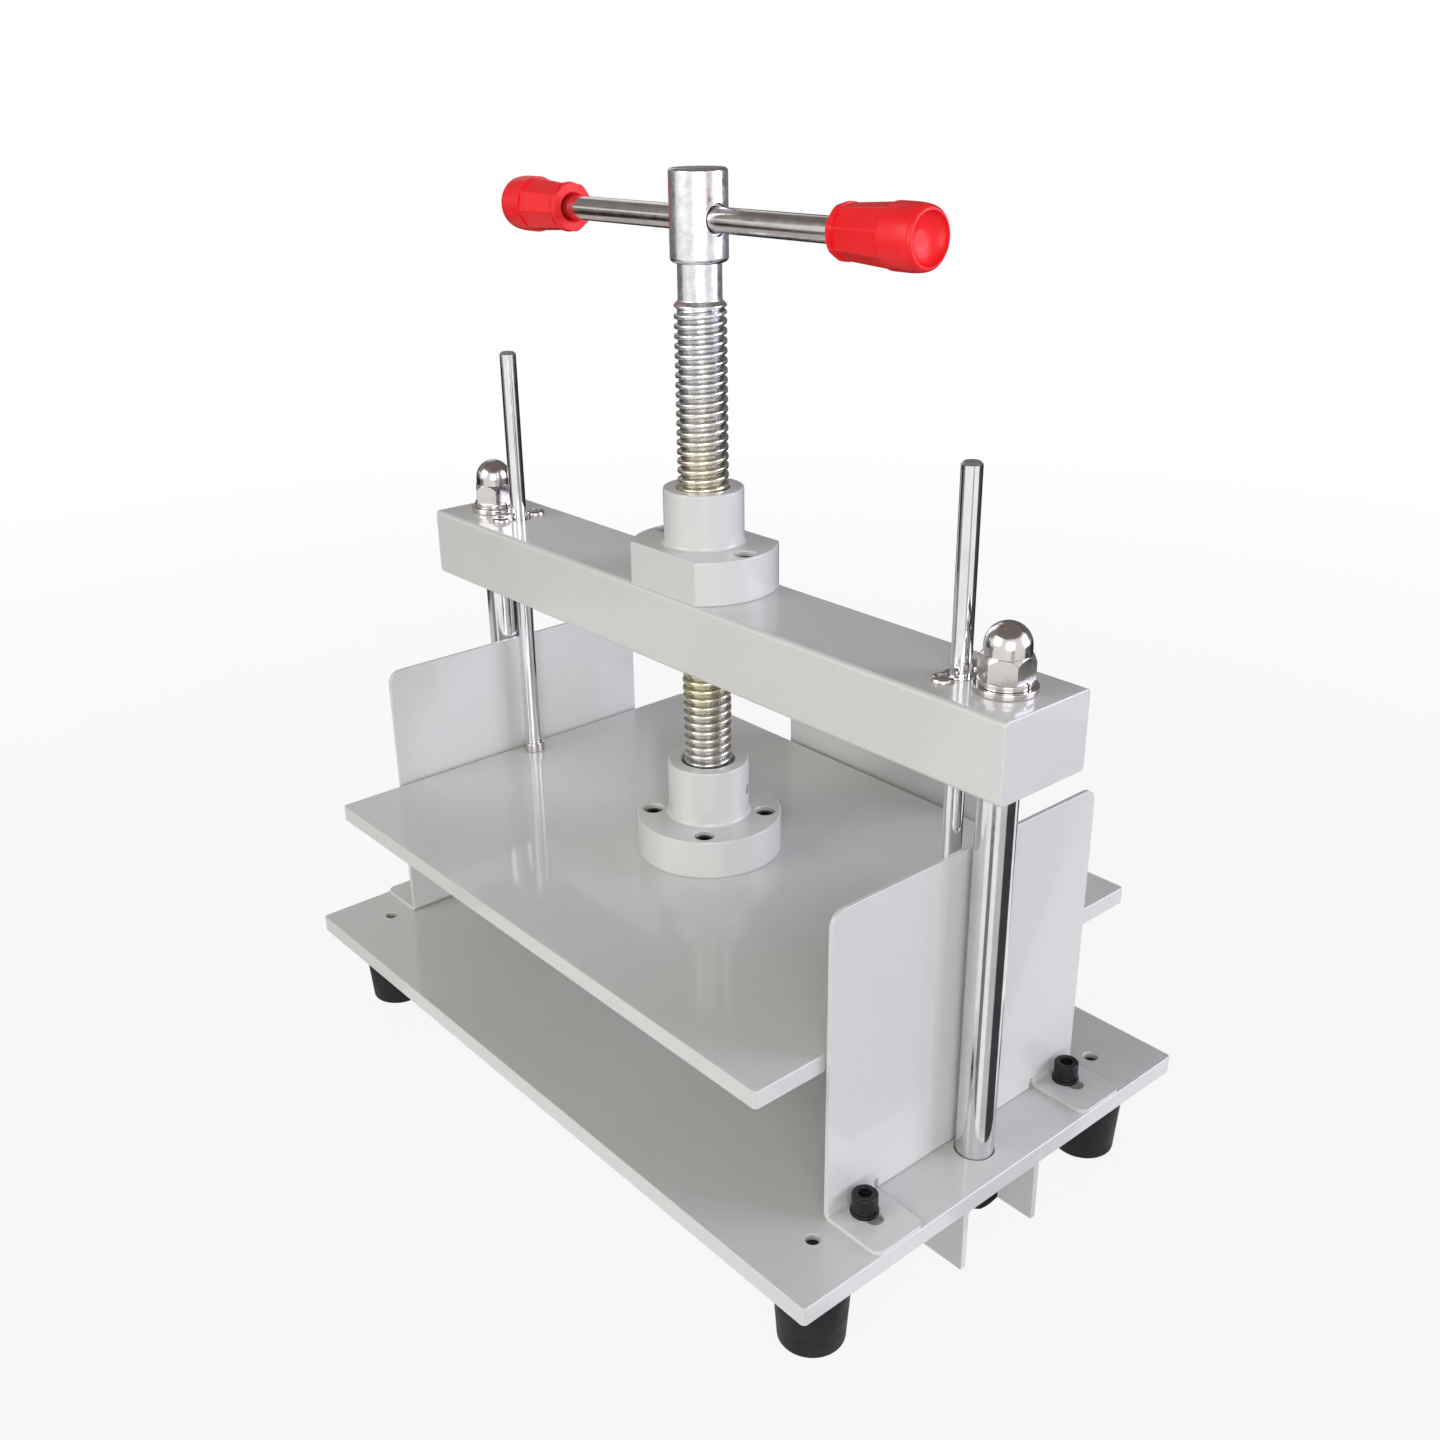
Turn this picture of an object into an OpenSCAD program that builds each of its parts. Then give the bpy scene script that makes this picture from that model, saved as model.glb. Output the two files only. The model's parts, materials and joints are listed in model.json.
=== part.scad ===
// Hand screw press for flattening papers, in millimetres.
// The floor is z = 0, the spindle's axis is the Z axis and the crossbeam runs along X.

/* [Pressing plate] */
// Length of the pressing plate
platen_l = 310; // [240:1:440]
// Depth of the pressing plate
platen_d = 221; // [180:1:320]
// Thickness of the pressing plate
platen_t = 8; // [6:0.5:16]
// Corner radius of the pressing plate
platen_corner_r = 2; // [1:0.5:6]
// Opening between the base plate and the pressing plate
opening_h = 68; // [10:1:100]
// Plate left below the blind holes of rods and hub screws
platen_skin = 2; // [1:0.5:3]

/* [Base plate] */
// Overhang of the base plate beyond a post's axis
base_over = 18; // [14:0.5:30]
// Overhang of the base plate in front of and behind the pressing plate
base_side_over = 4.5; // [3:0.5:20]
// Thickness of the base plate
base_t = 8.5; // [8:0.5:16]
// Corner radius of the base plate
base_corner_r = 2; // [1:0.5:8]

/* [Feet] */
// Height of a foot
foot_h = 38.5; // [34:0.5:60]
// Upper diameter of a foot
foot_top_d = 32.5; // [24:0.5:40]
// Lower diameter of a foot
foot_low_d = 27.5; // [18:0.5:36]
// Distance from a foot's axis to the end of the base plate
foot_end_in = 24; // [20:0.5:32]
// Distance from a foot's axis to the long edge of the base plate
foot_side_in = 27.5; // [20:0.5:34]
// Diameter of a foot's stud
foot_stud_d = 6; // [4:0.5:8]
// Depth of the stud in the foot
foot_stud_grip = 16; // [8:0.5:24]
// Depth of the stud's end below the top of the base plate
foot_stud_drop = 3; // [0.5:0.5:5]

/* [Stiffening channel] */
// Width of the channel
channel_w = 48; // [40:1:70]
// Sheet thickness of the channel
channel_t = 3; // [2:0.5:5]
// Inner bend radius of the channel
channel_bend_r = 1.5; // [0.5:0.5:4]
// Height of the channel's lower edges above the floor
channel_lift = 7; // [4:0.5:12]
// Distance from the end of the channel to the end of the base plate
channel_end_in = 2; // [0:0.5:8]

/* [Posts] */
// Diameter of a post
post_d = 16; // [14:0.5:22]
// Clear height between the base plate and the crossbeam
post_h = 172.5; // [165:0.5:240]
// Depth of the post's seat in the base plate
post_sink = 4; // [1:0.5:6]
// Gap around the post in its seat
post_seat_gap = 0.3; // [0.1:0.1:0.6]
// Diameter of the threaded ends of a post
post_stud_d = 12; // [10:0.5:13]
// Gap around the threaded ends in plates and washers
post_stud_gap = 0.4; // [0.2:0.1:0.8]
// Outer diameter of the post washers
washer_d = 24.5; // [22:0.5:28]
// Thickness of the post washers
washer_t = 2.5; // [1.5:0.5:4]
// Width across the flats of the lower nuts
low_nut_s = 19; // [18:0.5:22]
// Height of the lower nuts
low_nut_h = 10; // [8:0.5:12]
// Height of the chamfers on the lower nuts
low_nut_chamfer = 0.8; // [0.4:0.1:1.5]
// Length of the threaded end below the lower nut
low_stud_out = 1; // [0.5:0.5:3]

/* [Cap nuts] */
// Outer diameter of a spring washer
spring_washer_d = 21; // [19:0.5:22]
// Thickness of a spring washer
spring_washer_t = 2.5; // [1.5:0.5:4]
// Width across the flats of a cap nut
cap_nut_s = 18.5; // [18:0.5:22]
// Height of the hexagon of a cap nut
cap_hex_h = 9.3; // [8:0.1:12]
// Height of the chamfer on the hexagon of a cap nut
cap_chamfer = 2.3; // [0.8:0.1:3]
// Diameter of the dome of a cap nut
cap_dome_d = 17.8; // [17:0.1:19]
// Overall height of a cap nut
cap_nut_h = 21.2; // [20:0.1:28]
// Length of the threaded end inside a cap nut
cap_stud_in = 12; // [10:0.5:14]
// Free depth of the cap nut's bore above the threaded end
cap_bore_free = 1; // [0.5:0.5:2]

/* [Crossbeam] */
// Overhang of the crossbeam beyond a post's axis
beam_over = 20; // [16:0.5:36]
// Width of the crossbeam
beam_w = 48; // [40:1:64]
// Height of the crossbeam
beam_h = 33; // [24:1:50]
// Radius of the long edges of the crossbeam
beam_edge_r = 2; // [0.5:0.5:4]

/* [Screw nut] */
// Diameter of the nut's flange
nut_flange_d = 65; // [60:0.5:80]
// Height of the nut's flange
nut_flange_h = 19.4; // [15:0.1:30]
// Diameter of the nut's boss
nut_boss_d = 35; // [30:0.5:38]
// Overall height of the nut above the crossbeam
nut_h = 43.7; // [36:0.1:60]
// Diameter of the nut's spigot in the crossbeam
nut_spigot_d = 29; // [27:0.5:34]
// Distance from a nut screw's axis to the rim of the flange
nut_screw_in = 6; // [5.5:0.1:8]

/* [Bearing hub] */
// Diameter of the hub's flange
hub_flange_d = 67.4; // [62:0.1:84]
// Height of the hub's flange
hub_flange_h = 18.4; // [15:0.1:24]
// Diameter of the hub's boss
hub_boss_d = 37.4; // [34:0.1:40]
// Overall height of the hub
hub_h = 45.3; // [42:0.1:52]
// Depth of the mouth that takes the lower end of the thread
mouth_h = 6; // [4:0.5:10]
// Gap around the thread in the mouth
mouth_gap = 1; // [0.5:0.1:2]
// Thickness of the thrust pad
pad_t = 3; // [2:0.5:5]
// Distance from the set screw's axis to the top of the hub
set_screw_drop = 14; // [12:0.5:18]
// Diameter of the set screw
set_screw_d = 5; // [4:0.5:6]
// Depth of the set screw's end below the surface of the boss
set_screw_sink = 1.5; // [0.5:0.5:3]
// Direction of the set screw, in degrees from +X
set_screw_turn = 34; // [0:1:360]

/* [Spindle] */
// Outer diameter of the thread
thread_d = 22; // [20:0.5:24]
// Depth of the thread
thread_depth = 1.5; // [1:0.1:1.5]
// Lead of the thread, right-handed
thread_lead = 4; // [3:0.5:6]
// Width of the thread's crest
thread_crest = 1.3; // [0.8:0.1:1.4]
// Height of each flank of the thread
thread_flank = 0.8; // [0.3:0.1:0.8]
// Thread left above the nut when the pressing plate is down
thread_over = 9.6; // [4:0.1:30]
// Diameter of the journal in the hub
journal_d = 16; // [12:0.5:18]
// Depth of the journal's groove for the set screw
groove_depth = 2; // [1:0.5:2.5]
// Diameter of the neck below the head
neck_d = 18.4; // [14:0.1:18.6]
// Length of the neck
neck_h = 14.7; // [8:0.1:24]
// Diameter of the head
head_d = 24; // [22:0.5:32]
// Height of the head
head_h = 36; // [30:0.5:44]
// Radius of the lower edge of the head
head_low_r = 2; // [0.5:0.5:3]
// Chamfer of the upper edge of the head
head_top_c = 1; // [0.5:0.5:2]

/* [Handle] */
// Diameter of the handle bar
bar_d = 10; // [8:0.5:14]
// Length of the handle bar
bar_l = 234; // [180:1:300]
// Shift of the bar in the head, towards +X
bar_shift = -2; // [-60:0.5:60]
// Height of the bar's axis above the lower face of the head
bar_up = 16.8; // [14:0.1:20]
// Gap around the bar in the head
bar_gap = 0.3; // [0.1:0.05:0.5]
// Countersink of the bar's hole in the head
bar_sink = 1.2; // [0.5:0.1:1.5]
// Length of a grip
grip_l = 41.5; // [34:0.5:60]
// Largest diameter of a grip
grip_d = 23.8; // [20:0.1:30]
// Diameter of a grip at its inner end
grip_in_d = 21; // [19:0.1:22]
// Diameter of a grip at its outer end
grip_out_d = 21.4; // [18:0.1:22]
// Material of a grip beyond the end of the bar
grip_end_t = 8.5; // [7:0.5:12]
// Depth of the bowl in the outer end of a grip
grip_dish = 5; // [2:0.5:6]
// Rim around the bowl
grip_rim = 1.2; // [1:0.1:3]
// Diameter of the mouth in the inner end of a grip
grip_mouth_d = 13; // [12:0.5:16]
// Depth of the mouth
grip_mouth_h = 2; // [1:0.5:10]
// Length of the collar at the inner end of a grip
grip_collar_l = 3; // [2:0.5:6]
// Length of the band around the thick end of a grip
grip_band_l = 6.5; // [4:0.5:12]
// Height of the collar and the band above the grip between them
grip_step = 0.4; // [0.2:0.1:0.8]
// Depth of the flats on the collar and on the grip beyond it
grip_flat = 0.6; // [0.3:0.1:0.9]
// Turn of the flats around the grip
grip_turn = -12; // [-22:1:22]

/* [Guide rods] */
// Diameter of a guide rod
rod_d = 8; // [6:0.5:10]
// Distance from a rod's axis to the end of the pressing plate
rod_end_in = 8; // [7:0.5:12]
// Rod left above the crossbeam when the pressing plate is down
rod_over = 12; // [4:0.5:40]
// Height of the left rod above the right one
rod_left_more = 3; // [0:0.5:10]
// Chamfer of the top of a rod
rod_chamfer = 1; // [0.5:0.1:1.5]
// Diameter of a rod's collar
collar_d = 11; // [10.5:0.5:14]
// Height of a rod's collar
collar_h = 5; // [3:0.5:10]
// Outer diameter of a guide bush
bush_d = 14; // [12:0.5:16]
// Overlap of a bush screw's head on the bush
bush_lap = 1.3; // [0.5:0.1:2]
// Diameter of a bush screw
bush_screw_d = 4; // [3:0.5:5]
// Head diameter of a bush screw
bush_head_d = 9.2; // [8:0.1:10]
// Head height of a bush screw
bush_head_h = 2.2; // [1.5:0.1:4]
// Depth of a bush screw in the crossbeam
bush_screw_in = 12; // [8:0.5:18]

/* [Guards] */
// Sheet thickness of the guards
guard_t = 2; // [1:0.5:3]
// Height of the guards above the base plate
guard_h = 137.8; // [100:0.1:155]
// Distance from a side guard's edges to the long edges of the pressing plate
guard_side_in = 34; // [30:0.1:50]
// Gap between a side guard and the pressing plate
guard_gap = 1.6; // [1:0.1:4]
// Gap between a side guard and the post
guard_post_gap = 1.4; // [1:0.1:4]
// Radius of the upper corners of the guards
guard_corner_r = 6.5; // [2:0.5:15]
// Inner bend radius of a side guard
guard_bend_r = 1; // [0.5:0.5:2]
// Gap below a side guard between its tabs
guard_lift = 0.3; // [0.2:0.1:1]
// Width of a tab
tab_w = 26.5; // [20:0.5:34]
// Radius of the outer corners of a tab
tab_corner_r = 4; // [2:0.5:8]
// Width of the relief notch beside a tab
notch_w = 2; // [1:0.5:4]
// Height of the relief notch above the bend
notch_h = 2; // [1:0.5:4]
// Width of a slot
slot_w = 7; // [6.6:0.1:8]
// Length of a slot
slot_l = 13.5; // [11.5:0.5:14]
// Distance from the bend to the slot
slot_bend_gap = 1.9; // [1.8:0.1:4]
// Distance from the slot's inner end to the guard screw
slot_screw_gap = 1.5; // [1:0.1:3]
// Width of the back guard
back_guard_w = 133; // [100:1:200]
// Distance from a back guard screw's axis to the side edge of the back guard
back_screw_in = 20; // [10:0.5:40]
// Diameter of a back guard screw
back_screw_d = 4; // [3:0.5:4.5]
// Head diameter of a back guard screw
back_head_d = 7.6; // [6.5:0.1:9]
// Head height of a back guard screw
back_head_h = 2.4; // [1.5:0.1:4]
// Depth of a back guard screw in the base plate
back_screw_reach = 10; // [6:0.5:16]

/* [Cap screws] */
// Diameter of a guard screw
guard_screw_d = 6; // [5:0.5:6]
// Head diameter of a guard screw
guard_head_d = 10.6; // [9.5:0.1:11]
// Head height of a guard screw
guard_head_h = 6; // [4:0.5:7]
// Diameter of a guard screw's flat washer
flat_washer_d = 11.6; // [11:0.1:12]
// Thickness of a guard screw's flat washer
flat_washer_t = 1.6; // [1:0.1:2]
// Diameter of a guard screw's lock washer
lock_washer_d = 10.8; // [10:0.1:11.4]
// Thickness of a guard screw's lock washer
lock_washer_t = 1.6; // [1:0.1:2]
// Split in a lock washer
lock_split = 0.8; // [0.4:0.1:1.5]
// Distance from a guard screw's end to the base plate's lower face
guard_screw_short = 1; // [0.5:0.5:3]
// Diameter of a flange screw, in nut and hub
flange_screw_d = 5; // [4:0.5:6]
// Head diameter of a flange screw
flange_head_d = 8.5; // [8:0.1:9]
// Head height of a flange screw
flange_head_h = 5; // [4:0.5:6]
// Gap around a flange screw's head
flange_head_gap = 0.35; // [0.2:0.05:0.6]
// Depth of a flange screw's head below the top of the flange
flange_sink = 2; // [0.5:0.5:4]
// Depth of a nut screw in the crossbeam
nut_screw_reach = 14; // [8:0.5:18]
// Depth of the sockets in screw heads
socket_depth = 2.5; // [1.5:0.1:2.8]
// Width of the sockets, as a share of the head
socket_share = 0.5; // [0.4:0.01:0.6]

/* [Fits] */
// Radial gap of fixed fits
fit_gap = 0.05; // [0.02:0.01:0.08]
// Radial gap of running fits
run_gap = 0.05; // [0.02:0.01:0.1]
// Radial gap of the thread in the nut
thread_gap = 0.1; // [0.05:0.01:0.2]
// Radius of eased edges on turned parts
ease_r = 0.8; // [0.3:0.1:1.2]
// Radius of the fillet at the foot of a boss
boss_fillet_r = 1.5; // [0.5:0.1:2.5]

/* [Hidden] */
$fn = 96;
arc_steps = 5;
grip_end_turn = 75;
grip_flats = 8;
hub_screw_turns = [45, 135, 225, 315];
cut = 1;

// Places along X
guard_in_x = platen_l / 2 + guard_gap;
guard_out_x = guard_in_x + guard_t;
post_x = guard_out_x + guard_post_gap + post_d / 2;
rod_x = platen_l / 2 - rod_end_in;
base_l = 2 * (post_x + base_over);
beam_l = 2 * (post_x + beam_over);
foot_x = base_l / 2 - foot_end_in;
slot_x = guard_out_x + guard_bend_r + slot_bend_gap;
guard_screw_x = slot_x + slot_screw_gap + guard_screw_d / 2;
nut_screw_x = nut_flange_d / 2 - nut_screw_in;

// Places along Y
base_d = platen_d + 2 * base_side_over;
foot_y = base_d / 2 - foot_side_in;
guard_w = platen_d - 2 * guard_side_in;
tab_y = guard_w / 2 - tab_w / 2;
bush_screw_y = bush_d / 2 + bush_head_d / 2 - bush_lap;
back_screw_x = back_guard_w / 2 - back_screw_in;

// Places along Z
base_top = foot_h + base_t;
web_z = foot_h - channel_t;
low_nut_z = web_z - washer_t - low_nut_h;
beam_z = base_top + post_h;
beam_top = beam_z + beam_h;
platen_z = base_top + opening_h;
platen_top = platen_z + platen_t;
hub_top = platen_top + hub_h;
neck_z = platen_z + post_h + beam_h + nut_h + thread_over;
rod_top = platen_z + post_h + beam_h + rod_over;
head_z = neck_z + neck_h;
bar_z = head_z + bar_up;
shoulder_h = (thread_d - neck_d) / 2 + ease_r;
thread_z = hub_top - mouth_h + mouth_gap;
set_screw_z = hub_top - set_screw_drop;
hub_screw_r = (hub_flange_d + hub_boss_d) / 4;
guard_stack = guard_t + flat_washer_t + lock_washer_t;
cap_nut_z = beam_top + washer_t + spring_washer_t;

// Height of a flange screw's seat above the foot of the flange
function flange_seat(flange_h) = flange_h - flange_sink - flange_head_h;

paint = "#cfcdc8";
ground_steel = "#c4c8ce";
zinc = "#d8d6c8";
chrome = "#dcdee2";
black_oxide = "#2b2b2e";
rubber_black = "#1c1b20";
grip_red = "#e8333a";
brass = "#c7a24b";

// Points on an arc around c, from one angle to another
function arc(c, r, from, to) =
    [for (i = [0:arc_steps]) c + r * [cos(from + (to - from) * i / arc_steps),
        sin(from + (to - from) * i / arc_steps)]];

// Rectangle with round corners, centred
module soft_square(size, r) {
    square([size.x - 2 * r, size.y], center = true);
    square([size.x, size.y - 2 * r], center = true);
    for (sx = [-1, 1], sy = [-1, 1])
        translate([sx * (size.x / 2 - r), sy * (size.y / 2 - r)]) circle(r);
}

// Children at plus and minus x
module both_x(x) for (s = [-1, 1]) translate([s * x, 0, 0]) children();

// Children at the four places (+-x, +-y)
module four(x, y) for (sx = [-1, 1], sy = [-1, 1]) translate([sx * x, sy * y, 0]) children();

// Straight hole along Z from z, with room past both ends
module bore(d, z, h) translate([0, 0, z - cut]) cylinder(d = d, h = h + 2 * cut);

// Flat ring
module ring(d, hole_d, h) difference() {
    cylinder(d = d, h = h);
    bore(hole_d, 0, h);
}

// Ring with a split on its +X side
module split_ring(d, hole_d, h) difference() {
    ring(d, hole_d, h);
    translate([0, -lock_split / 2, -cut]) cube([d, lock_split, h + 2 * cut]);
}

// Hexagon with its corners turned off over the given heights at both ends, a flat facing X
module hexagon(s, h, low, high) intersection() {
    r = s / cos(30) / 2;
    rotate([0, 0, 30]) cylinder(r = r, h = h, $fn = 6);
    rotate_extrude()
        polygon([[0, 0], [low > 0 ? s / 2 : r, 0], [r, low], [r, h - high], [s / 2, h], [0, h]]);
}

// Socket head screw, the head's seat at z = 0 and the shank below
module cap_screw(d, reach, head_d, head_h) {
    translate([0, 0, -reach]) cylinder(d = d, h = reach);
    difference() {
        rotate_extrude()
            polygon(concat([[0, 0], [head_d / 2, 0]],
                arc([head_d / 2 - ease_r, head_h - ease_r], ease_r, 0, 90), [[0, head_h]]));
        translate([0, 0, head_h - socket_depth])
            cylinder(d = head_d * socket_share / cos(30), h = socket_depth + cut, $fn = 6);
    }
}

// Pan head screw with a cross recess, the head's seat at z = 0
module pan_screw(d, reach, head_d, head_h) {
    round_r = head_h - ease_r / 2;
    translate([0, 0, -reach]) cylinder(d = d, h = reach);
    difference() {
        rotate_extrude()
            polygon(concat([[0, 0], [head_d / 2, 0]],
                arc([head_d / 2 - round_r, head_h - round_r], round_r, 0, 90), [[0, head_h]]));
        for (turn = [0, 90]) rotate([0, 0, turn])
            translate([0, 0, head_h]) cube([head_d / 2, head_d / 8, head_h], center = true);
    }
}

module base_plate() color(paint) difference() {
    translate([0, 0, foot_h]) linear_extrude(base_t) soft_square([base_l, base_d], base_corner_r);
    both_x(post_x) {
        bore(post_stud_d + 2 * post_stud_gap, foot_h, base_t);
        translate([0, 0, base_top - post_sink])
            cylinder(d = post_d + 2 * post_seat_gap, h = post_sink + cut);
    }
    four(foot_x, foot_y) bore(foot_stud_d + 2 * fit_gap, foot_h, base_t);
    four(guard_screw_x, tab_y) bore(guard_screw_d + 2 * fit_gap, foot_h, base_t);
    both_x(back_screw_x) translate([0, base_d / 2, foot_h + base_t / 2]) rotate([90, 0, 0])
        bore(back_screw_d + 2 * fit_gap, 0, back_screw_reach);
}

module base_channel() color(paint) {
    h = foot_h - channel_lift;
    outer_r = channel_bend_r + channel_t;
    inner_w = channel_w - 2 * channel_t;
    difference() {
        rotate([90, 0, 90]) linear_extrude(base_l - 2 * channel_end_in, center = true) difference() {
            translate([0, foot_h - h]) soft_square([channel_w, 2 * h], outer_r);
            translate([0, web_z - h]) soft_square([inner_w, 2 * h], channel_bend_r);
            translate([-channel_w, channel_lift - 2 * h]) square([2 * channel_w, 2 * h]);
        }
        both_x(post_x) bore(post_stud_d + 2 * post_stud_gap, web_z, channel_t);
    }
}

module foot(sx, sy) color(rubber_black) translate([sx * foot_x, sy * foot_y, 0]) difference() {
    rotate_extrude()
        polygon(concat([[0, 0]], arc([foot_low_d / 2 - ease_r, ease_r], ease_r, -90, 0),
            arc([foot_top_d / 2 - ease_r, foot_h - ease_r], ease_r, 0, 90), [[0, foot_h]]));
    translate([0, 0, foot_h - foot_stud_grip])
        cylinder(d = foot_stud_d + 2 * fit_gap, h = foot_stud_grip + cut);
}
module foot_front_left() foot(-1, -1);
module foot_front_right() foot(1, -1);
module foot_back_left() foot(-1, 1);
module foot_back_right() foot(1, 1);

module foot_studs() color(black_oxide) four(foot_x, foot_y) translate([0, 0, foot_h - foot_stud_grip])
    cylinder(d = foot_stud_d, h = foot_stud_grip + base_t - foot_stud_drop);

// Post with a thinner threaded length at each end
module post(side) color(ground_steel) translate([side * post_x, 0, 0]) {
    translate([0, 0, base_top - post_sink]) cylinder(d = post_d, h = post_sink + post_h);
    translate([0, 0, low_nut_z - low_stud_out])
        cylinder(d = post_stud_d, h = cap_nut_z + cap_stud_in - low_nut_z + low_stud_out);
}
module post_left() post(-1);
module post_right() post(1);

module low_washers() color(black_oxide) both_x(post_x) translate([0, 0, web_z - washer_t])
    ring(washer_d, post_stud_d + 2 * post_stud_gap, washer_t);

module low_nuts() color(black_oxide) both_x(post_x) translate([0, 0, low_nut_z]) difference() {
    hexagon(low_nut_s, low_nut_h, low_nut_chamfer, low_nut_chamfer);
    bore(post_stud_d + 2 * fit_gap, 0, low_nut_h);
}

module crossbeam() color(paint) difference() {
    translate([0, 0, beam_z + beam_h / 2]) rotate([90, 0, 90])
        linear_extrude(beam_l, center = true) soft_square([beam_w, beam_h], beam_edge_r);
    both_x(post_x) bore(post_stud_d + 2 * post_stud_gap, beam_z, beam_h);
    both_x(rod_x) bore(bush_d + 2 * fit_gap, beam_z, beam_h);
    bore(nut_spigot_d + 2 * fit_gap, beam_z, beam_h);
    four(rod_x, bush_screw_y) translate([0, 0, beam_top - bush_screw_in])
        cylinder(d = bush_screw_d + 2 * fit_gap, h = bush_screw_in + cut);
    both_x(nut_screw_x) translate([0, 0, beam_top - nut_screw_reach])
        cylinder(d = flange_screw_d + 2 * fit_gap, h = nut_screw_reach + cut);
}

module top_washers() color(chrome) both_x(post_x) translate([0, 0, beam_top])
    ring(washer_d, post_stud_d + 2 * post_stud_gap, washer_t);

module spring_washers() color(chrome) both_x(post_x) translate([0, 0, beam_top + washer_t])
    split_ring(spring_washer_d, post_stud_d + 2 * post_stud_gap, spring_washer_t);

module cap_nuts() color(chrome) both_x(post_x) translate([0, 0, cap_nut_z]) difference() {
    union() {
        hexagon(cap_nut_s, cap_hex_h, 0, cap_chamfer);
        cylinder(d = cap_dome_d, h = cap_nut_h - cap_dome_d / 2);
        translate([0, 0, cap_nut_h - cap_dome_d / 2]) sphere(d = cap_dome_d);
    }
    translate([0, 0, -cut])
        cylinder(d = post_stud_d + 2 * fit_gap, h = cap_stud_in + cap_bore_free + cut);
}

module guide_bush(side) color(ground_steel) translate([side * rod_x, 0, beam_z])
    ring(bush_d, rod_d + 2 * run_gap, beam_h);
module guide_bush_left() guide_bush(-1);
module guide_bush_right() guide_bush(1);

module bush_screws() color(chrome) four(rod_x, bush_screw_y) translate([0, 0, beam_top])
    pan_screw(bush_screw_d, bush_screw_in, bush_head_d, bush_head_h);

// Half section of a flanged boss, from its bore outwards
function flanged_boss(bore_d, flange_d, flange_h, boss_d, h) = concat(
    [[flange_d / 2, 0]],
    arc([flange_d / 2 - ease_r, flange_h - ease_r], ease_r, 0, 90),
    arc([boss_d / 2 + boss_fillet_r, flange_h + boss_fillet_r], boss_fillet_r, 270, 180),
    arc([boss_d / 2 - ease_r, h - ease_r], ease_r, 0, 90),
    [[bore_d / 2 + ease_r, h], [bore_d / 2, h - ease_r]]);

// Stepped hole for a flange screw, from the foot of the flange upwards
module flange_screw_hole(flange_h) {
    seat = flange_seat(flange_h);
    bore(flange_screw_d + 2 * fit_gap, 0, seat);
    translate([0, 0, seat])
        cylinder(d = flange_head_d + 2 * flange_head_gap, h = flange_h - seat + cut);
}

// Flange screw, from the foot of the flange upwards, reaching into what is below
module flange_screw(flange_h, reach) translate([0, 0, flange_seat(flange_h)])
    cap_screw(flange_screw_d, flange_seat(flange_h) + reach, flange_head_d, flange_head_h);

module screw_nut() color(paint) translate([0, 0, beam_top]) {
    bore_d = thread_d + 2 * thread_gap;
    difference() {
        intersection() {
            rotate_extrude() polygon(concat(
                [[bore_d / 2, -beam_h], [nut_spigot_d / 2, -beam_h], [nut_spigot_d / 2, 0]],
                flanged_boss(bore_d, nut_flange_d, nut_flange_h, nut_boss_d, nut_h)));
            cube([2 * nut_flange_d, beam_w, 2 * (beam_h + nut_h)], center = true);
        }
        both_x(nut_screw_x) flange_screw_hole(nut_flange_h);
    }
}

module nut_screws() color(black_oxide) both_x(nut_screw_x) translate([0, 0, beam_top])
    flange_screw(nut_flange_h, nut_screw_reach);

module guard_screws() color(black_oxide) four(guard_screw_x, tab_y)
    translate([0, 0, base_top + guard_stack])
    cap_screw(guard_screw_d, guard_stack + base_t - guard_screw_short, guard_head_d, guard_head_h);

module guard_washers() color(black_oxide) four(guard_screw_x, tab_y)
    translate([0, 0, base_top + guard_t])
    ring(flat_washer_d, guard_screw_d + 2 * fit_gap, flat_washer_t);

module lock_washers() color(black_oxide) four(guard_screw_x, tab_y)
    translate([0, 0, base_top + guard_t + flat_washer_t])
    split_ring(lock_washer_d, guard_screw_d + 2 * fit_gap, lock_washer_t);

// Sheet with round upper corners, standing on the X axis of its plane
module guard_outline(w, h) {
    translate([0, h - w / 2]) soft_square([w, w], guard_corner_r);
    translate([-w / 2, 0]) square([w, h - guard_corner_r]);
}

// Side guard for the right-hand side: upright sheet and two slotted tabs bent outwards
module side_guard() color(paint) translate([guard_in_x, 0, base_top]) {
    bend_z = guard_t + guard_bend_r;
    tab_end = base_l / 2 - guard_in_x;
    rotate([90, 0, 90]) linear_extrude(guard_t) difference() {
        intersection() {
            guard_outline(guard_w, guard_h);
            translate([-guard_w / 2, guard_lift]) square([guard_w, guard_h]);
        }
        for (s = [-1, 1]) translate([s * tab_y, 0]) square([tab_w, 2 * bend_z], center = true);
        for (s = [-1, 1]) translate([s * (guard_w / 2 - tab_w - notch_w / 2), 0])
            square([notch_w, 2 * (bend_z + notch_h)], center = true);
    }
    for (s = [-1, 1]) translate([0, s * tab_y, 0]) {
        rotate([90, 0, 0]) linear_extrude(tab_w, center = true) intersection() {
            translate([bend_z, bend_z]) difference() {
                circle(bend_z);
                circle(guard_bend_r);
            }
            square(bend_z);
        }
        difference() {
            linear_extrude(guard_t) {
                translate([bend_z, -tab_w / 2])
                    square([tab_end - bend_z - tab_corner_r, tab_w]);
                translate([tab_end / 2, 0]) intersection() {
                    soft_square([tab_end, tab_w], tab_corner_r);
                    translate([0, -tab_w / 2]) square([tab_end, tab_w]);
                }
            }
            translate([slot_x - guard_in_x + slot_l / 2, 0, -cut])
                linear_extrude(guard_t + 2 * cut) {
                    square([slot_l - slot_w, slot_w], center = true);
                    for (e = [-1, 1]) translate([e * (slot_l - slot_w) / 2, 0]) circle(d = slot_w);
                }
        }
    }
}
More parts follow.
